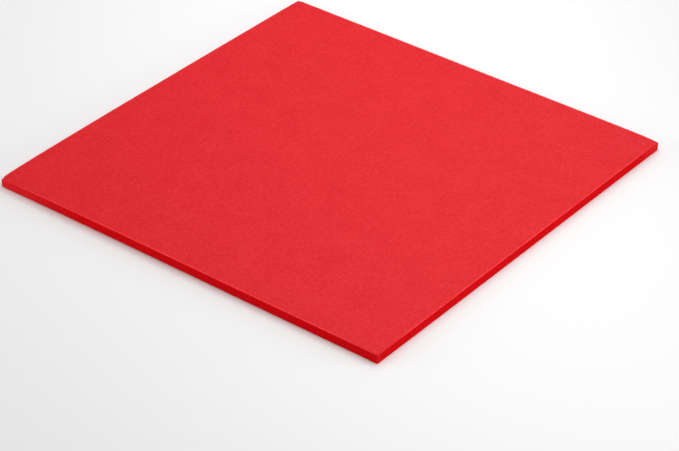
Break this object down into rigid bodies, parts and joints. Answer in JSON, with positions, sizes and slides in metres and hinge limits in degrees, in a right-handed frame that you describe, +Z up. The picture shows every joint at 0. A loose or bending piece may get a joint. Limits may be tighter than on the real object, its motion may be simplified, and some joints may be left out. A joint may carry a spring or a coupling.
{
  "type": "craft foam sheet",
  "caption": "Flat square sheet of closed-cell craft foam with clean cut edges, used as soft stock for cutting, gluing, padding and layering.",
  "frame": {"origin": "middle of the underside, where the sheet lies on a level surface", "axes": "+Z is up, out of the top face, along the 5 mm thickness; the four cut edges run along X and Y"},
  "size_m": [0.244, 0.244, 0.005],
  "materials": {
    "foam": "matte, soft closed-cell foam with a fine skin"
  },
  "bodies": {
    "root": {"foam_sheet": "foam"}
  },
  "joints": []
}
